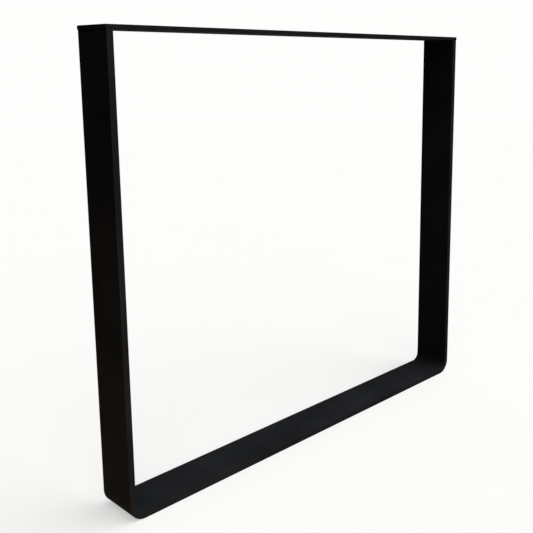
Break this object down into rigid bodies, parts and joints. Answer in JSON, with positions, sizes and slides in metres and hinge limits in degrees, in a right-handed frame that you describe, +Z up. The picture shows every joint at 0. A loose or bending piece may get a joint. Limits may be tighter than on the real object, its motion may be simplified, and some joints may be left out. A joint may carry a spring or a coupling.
{
  "type": "table leg",
  "caption": "U-shaped table leg of bent flat steel bar with rounded lower corners and a drilled mounting plate welded across the top, powder-coated black.",
  "frame": {"origin": "on the floor, under the middle of the leg", "axes": "+X along the leg's width, from the left upright to the right one; +Y through its depth, from front to back; +Z up"},
  "size_m": [0.802, 0.075, 0.72],
  "materials": {
    "powder_coated_steel": "fine-textured matt black powder coat on steel"
  },
  "bodies": {
    "root": {"u_strap": "powder_coated_steel", "top_plate": "powder_coated_steel", "left_weld": "powder_coated_steel", "right_weld": "powder_coated_steel"}
  },
  "joints": []
}
